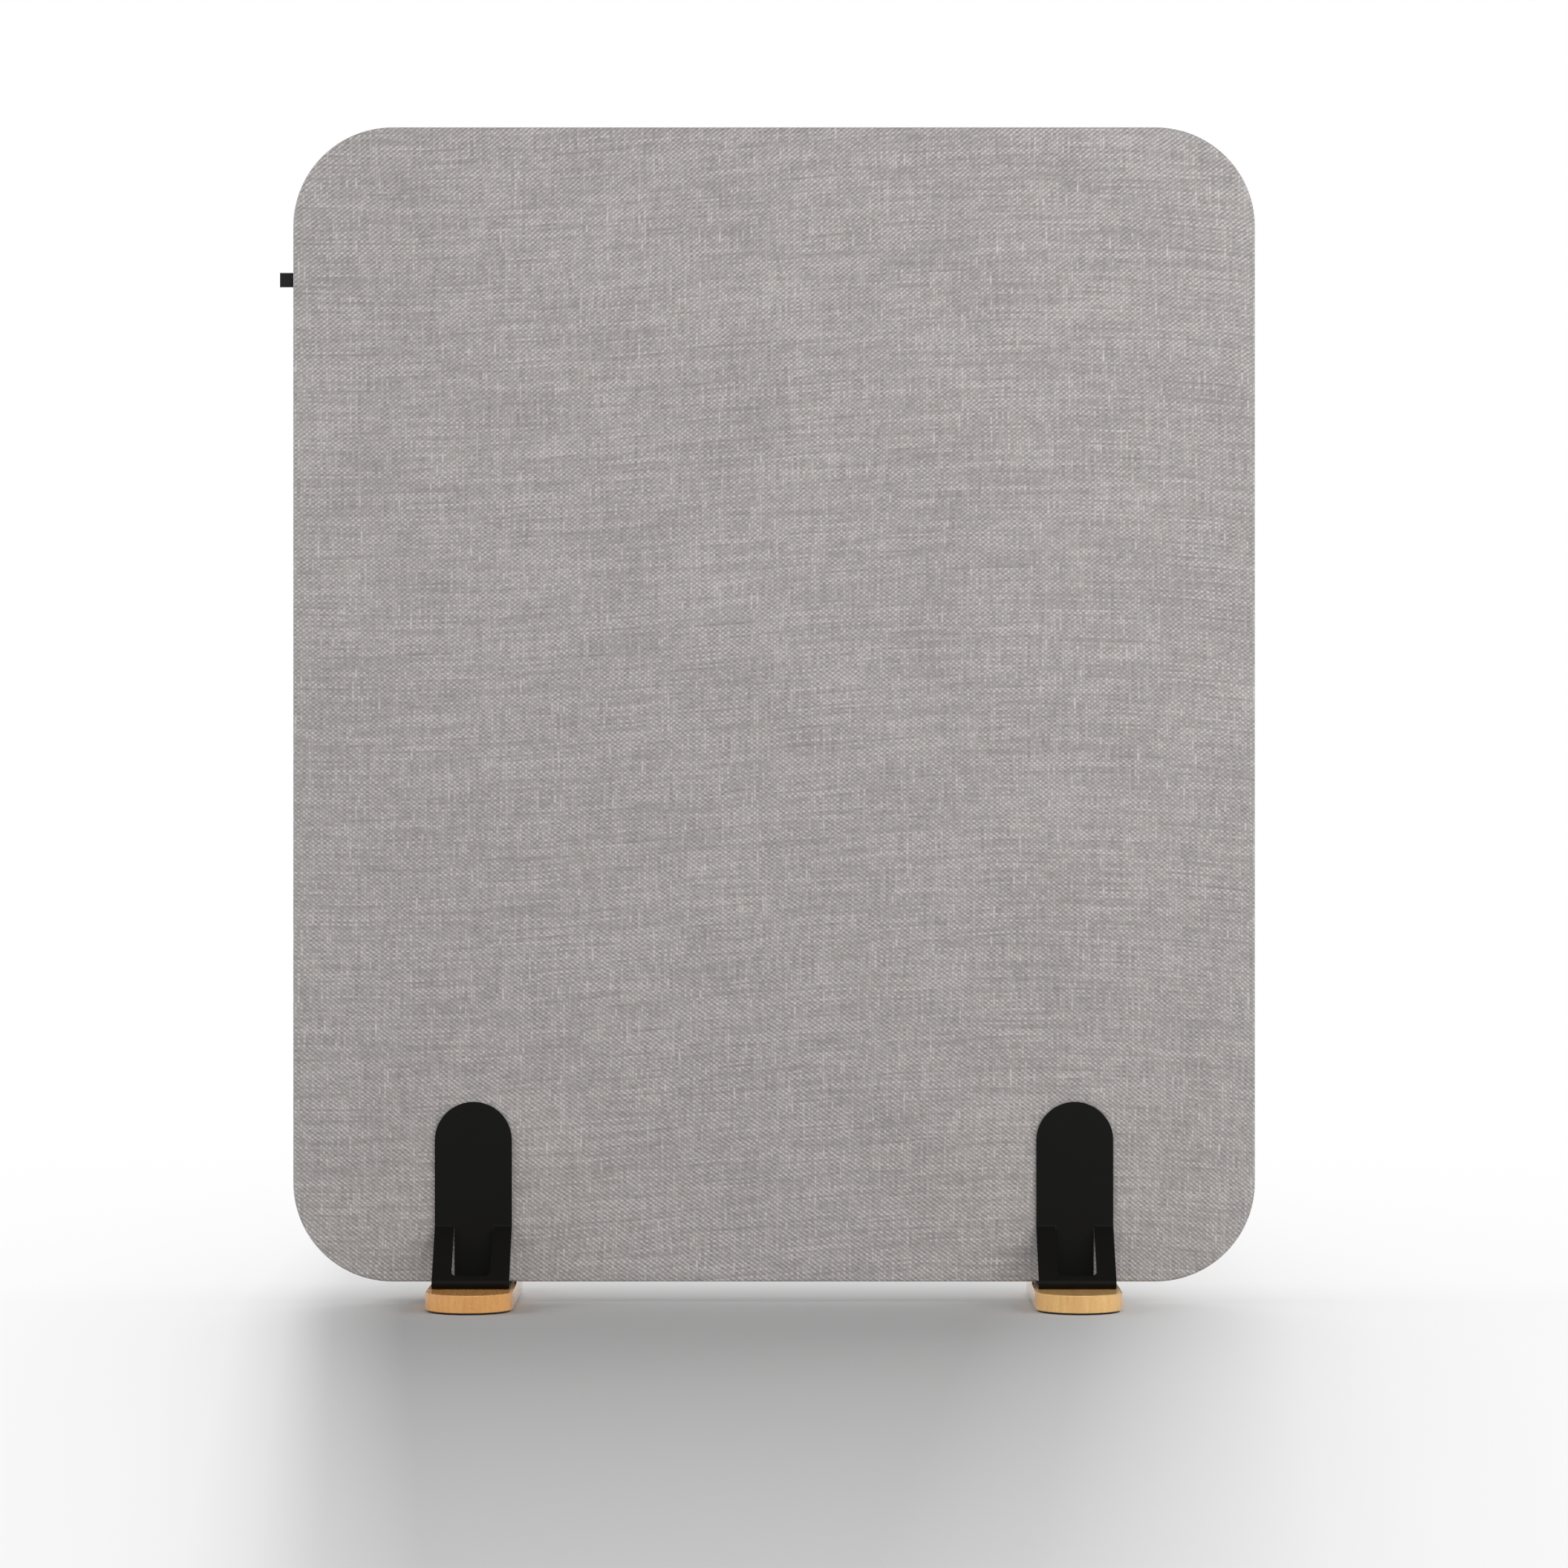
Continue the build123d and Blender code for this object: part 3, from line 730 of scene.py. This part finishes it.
# Two boards of one kind of wood; the right one is painted paler for the stronger light on the right foot
wood = {
    "left": {"light": (0.96, 0.53, 0.195), "dark": (0.68, 0.3, 0.088), "seed": 0.4},
    # painted light: these paler colours stand in for the brighter light that falls on the right foot
    "right": {"light": (0.98, 0.64, 0.265), "dark": (0.78, 0.415, 0.145), "seed": 1.7},
    "lengthwise": 0.03,  # places along Y and Z in the noises, drawn together so that the grain is long
    "upright": 0.1,
    "fiberUpright": 0.4,
    "bendLengthwise": 0.2,
    "bendScale": 26.0,
    "bend": 5 * mm,  # of the rings, across
    "ringScale": 210.0,
    "streakScale": 60.0,
    "fiberScale": 1100.0,
    "shares": (0.4, 0.3, 0.3),  # of rings, streaks and fibres in the tone
    "roughness": 0.07,
    "roughSpread": 0.06,
    "gloss": 0.5,
    "bump": 0.05,
    "relief": 0.05 * mm,
}
lightPlace, darkPlace = 0.3, 0.7  # on the scale of tones, for every wood


# Upright year rings that run front to rear: lines along the top, faint upright streaks on the ends
def lacqueredWood(side):
    board = wood[side]
    material, tree, shader = newMaterial("lacquered wood " + side)
    x, y, z = splitAxes(tree, objectPlace(tree))
    slowY = calc(tree, "MULTIPLY", y, wood["lengthwise"])
    slowZ = calc(tree, "MULTIPLY", z, wood["upright"])
    fiberZ = calc(tree, "MULTIPLY", z, wood["fiberUpright"])
    bendY = calc(tree, "MULTIPLY", y, wood["bendLengthwise"])
    x = calc(tree, "ADD", x, board["seed"])
    bend = noiseOn(tree, joinAxes(tree, x, bendY, slowZ), wood["bendScale"])
    across = calc(tree, "MULTIPLY_ADD", bend, wood["bend"], x)
    coarse = joinAxes(tree, across, slowY, slowZ)
    rings = noiseOn(tree, coarse, wood["ringScale"])
    streak = noiseOn(tree, coarse, wood["streakScale"])
    fiber = noiseOn(tree, joinAxes(tree, across, slowY, fiberZ), wood["fiberScale"])
    tone = 0.0
    for part, share in zip((rings, streak, fiber), wood["shares"]):
        tone = calc(tree, "MULTIPLY_ADD", part, share, tone)
    colorBy(tree, shader, tone, [(lightPlace, board["light"]), (darkPlace, board["dark"])])
    setSockets(shader, {"Specular IOR Level": wood["gloss"]})
    spreadRoughness(tree, shader, fiber, wood["roughSpread"], wood["roughness"])
    bumpFrom(tree, shader, streak, wood["bump"], wood["relief"])
    return material


# Softwood of the hidden frame: one grain, stretched across and up alike, serves rails and stiles
softwood = {
    "light": (0.66, 0.47, 0.28),
    "dark": (0.5, 0.33, 0.17),
    "stretch": 0.25,
    "scale": 320.0,
    "roughness": 0.7,
    "bump": 0.3,
    "relief": 0.1 * mm,
}


def frameGrain():
    material, tree, shader = newMaterial("frame wood")
    x, y, z = splitAxes(tree, objectPlace(tree))
    slowX = calc(tree, "MULTIPLY", x, softwood["stretch"])
    slowZ = calc(tree, "MULTIPLY", z, softwood["stretch"])
    tone = noiseOn(tree, joinAxes(tree, slowX, y, slowZ), softwood["scale"], 3.0)
    colorBy(tree, shader, tone, [(lightPlace, softwood["light"]), (darkPlace, softwood["dark"])])
    setSockets(shader, {"Roughness": softwood["roughness"]})
    bumpFrom(tree, shader, tone, softwood["bump"], softwood["relief"])
    return material


feet = ("left", "right")
dress(["left_bracket", "right_bracket"], powderCoat())
for foot in feet:
    dress([foot + "_slat"], lacqueredWood(foot))
dress([f + "_foot_pad" for f in feet], plainGrain("pad rubber"))
dress([f + n for f in feet for n in ("_panel_screws", "_panel_screw_washers")], plainGrain("zinc"))
dress([f + "_plate_screws" for f in feet], plainGrain("black zinc"))
dress(["threaded_inserts"], plainGrain("brass"))
dress([n for n in nodes if n.endswith(("rail", "stile", "corner_block"))], frameGrain())
dress(["frame_dowels"], plainGrain("dowel wood"))
print("finishes done")

# Stage: a pale floor, white beside and far behind the screen for the eye, and a white surround. A fade gives
# places across or along the floor, each with its share of white. The grey that the fades leave is a painted
# shadow pool: the lamps' real shadow lies inside it, but its outline, narrowing towards the front, and its
# lightening to the front and rear are painted.
stage = {
    "size": 14.0,
    "finish": {"Base Color": (0.5, 0.5, 0.5, 1), "Roughness": 0.9, "Specular IOR Level": 0.05},
    "lean": 0.083,  # of the shadow's two sides towards its middle, for each metre in front
    # the side fades draw the painted outline of the shadow pool
    "leftFade": (
        (-0.39, 0.0), (-0.46, 0.22), (-0.51, 0.57), (-0.56, 0.76),
        (-0.62, 0.83), (-0.8, 0.91), (-1.4, 1.0),
    ),
    "rightFade": (
        (0.22, 0.0), (0.33, 0.13), (0.41, 0.34), (0.48, 0.52),
        (0.54, 0.69), (0.62, 0.8), (0.75, 0.88), (1.4, 1.0),
    ),
    "rearFade": ((0.0, 0.0), (0.06, 0.16), (0.21, 0.42), (2.5, 1.0)),
    # painted lightening of the shadow pool towards the front
    "frontFade": ((-0.3, 0.0), (-0.77, 0.09), (-1.32, 0.16), (-2.2, 0.26), (-4.6, 1.0)),
}


# One for rays from the eye, and for those that a mirror or a glass sends on
def seenByEye(tree):
    path = tree.nodes.new("ShaderNodeLightPath")
    both = calc(tree, "MAXIMUM", path.outputs["Is Camera Ray"], path.outputs["Is Glossy Ray"])
    return calc(tree, "MAXIMUM", both, path.outputs["Is Transmission Ray"])


# Sum of straight pieces between the given places, each from its level to the next one's
def piecewise(tree, value, stops):
    total = None
    for (start, low), (end, high) in zip(stops, stops[1:]):
        part = rescale(tree, value, start, end, 0.0, high - low)
        total = part if total is None else calc(tree, "ADD", total, part)
    return total


def floorMaterial():
    material, tree, shader = newMaterial("pale floor")
    setSockets(shader, stage["finish"])
    x, y, _ = splitAxes(tree, objectPlace(tree))
    inFront = calc(tree, "MINIMUM", y, 0.0)
    left = piecewise(tree, calc(tree, "MULTIPLY_ADD", inFront, stage["lean"], x), stage["leftFade"])
    right = piecewise(tree, calc(tree, "MULTIPLY_ADD", inFront, -stage["lean"], x), stage["rightFade"])
    beside = calc(tree, "ADD", left, right)
    far = calc(tree, "ADD", piecewise(tree, y, stage["rearFade"]), piecewise(tree, y, stage["frontFade"]))
    # What is left grey is the share left by one fade times the share left by the other
    grey = calc(tree, "MULTIPLY", calc(tree, "SUBTRACT", 1.0, far), calc(tree, "SUBTRACT", 1.0, beside))
    pale = calc(tree, "SUBTRACT", 1.0, grey)
    white = addNode(tree, "ShaderNodeEmission", Strength=1.0)
    mix = tree.nodes.new("ShaderNodeMixShader")
    tree.links.new(calc(tree, "MULTIPLY", pale, seenByEye(tree)), mix.inputs[0])
    tree.links.new(shader.outputs[0], mix.inputs[1])
    tree.links.new(white.outputs[0], mix.inputs[2])
    output = next(n for n in tree.nodes if n.type == "OUTPUT_MATERIAL")
    tree.links.new(mix.outputs[0], output.inputs["Surface"])
    return material


def makeFloor():
    half = stage["size"] / 2
    mesh = bpy.data.meshes.new("floor")
    corners = [(-half, -half, 0), (half, -half, 0), (half, half, 0), (-half, half, 0)]
    mesh.from_pydata(corners, [], [(0, 1, 2, 3)])
    mesh.materials.append(floorMaterial())
    floor = bpy.data.objects.new("floor", mesh)
    bpy.context.collection.objects.link(floor)


# Soft boxes round the screen: azimuth from the front or rear, elevation, size and power
light = {
    "distance": 3.2,
    "aim": {"front": 1.0, "rear": 0.2},  # height that the lamps of a side point at
    "fill": 0.02,  # of the surround, on rough surfaces
    "zenith": 0.3,  # of the surround, where gloss mirrors the ceiling
    "mirroredTo": 45,  # azimuth past which gloss doesn't mirror a lamp, so that lacquer stays wood
    "lamps": [
        ("front", 62, 12, 2.4, 60),
        ("front", 16, 12, 2.4, 36),
        ("front", -16, 12, 2.4, 16),
        ("front", -77, 12, 2.4, 62),
        ("rear", 0, 22, 2.0, 70),
        ("rear", 40, 22, 2.0, 15),
        ("rear", 40, 42, 2.0, 9),
    ],
    "level": 0.945,
}


def makeWorld():
    world = bpy.data.worlds.new("surround")
    world.use_nodes = True
    tree = world.node_tree
    background = tree.nodes["Background"]
    path = tree.nodes.new("ShaderNodeLightPath")
    direction = tree.nodes.new("ShaderNodeTexCoord").outputs["Generated"]
    _, _, z = splitAxes(tree, direction)
    mirrored = rescale(tree, z, 0.0, 1.0, 1.0, light["zenith"])
    eye = calc(tree, "MAXIMUM", path.outputs["Is Camera Ray"], path.outputs["Is Transmission Ray"])
    glossy = calc(tree, "MULTIPLY", path.outputs["Is Glossy Ray"], mirrored)
    strength = calc(tree, "MAXIMUM", calc(tree, "MAXIMUM", eye, glossy), light["fill"])
    background.inputs["Color"].default_value = (1, 1, 1, 1)
    tree.links.new(strength, background.inputs["Strength"])
    bpy.context.scene.world = world


def makeLamp(number, side, azimuth, elevation, size, power):
    name = "lamp " + str(number)
    lamp = bpy.data.lights.new(name, "AREA")
    lamp.shape = "SQUARE"
    lamp.size = size
    lamp.energy = power * light["level"]
    a, e = math.radians(azimuth), math.radians(elevation)
    way = -1 if side == "front" else 1
    away = np.array([math.sin(a) * math.cos(e), way * math.cos(a) * math.cos(e), math.sin(e)])
    holder = bpy.data.objects.new(name, lamp)
    holder.location = away * light["distance"] + [0, 0, light["aim"][side]]
    holder.rotation_euler = (math.acos(away[2]), 0, math.atan2(away[0], -away[1]))
    holder.visible_camera = False
    holder.visible_glossy = abs(azimuth) <= light["mirroredTo"]
    bpy.context.collection.objects.link(holder)


makeFloor()
makeWorld()
for number, settings in enumerate(light["lamps"]):
    makeLamp(number, *settings)
print("stage and lights done")
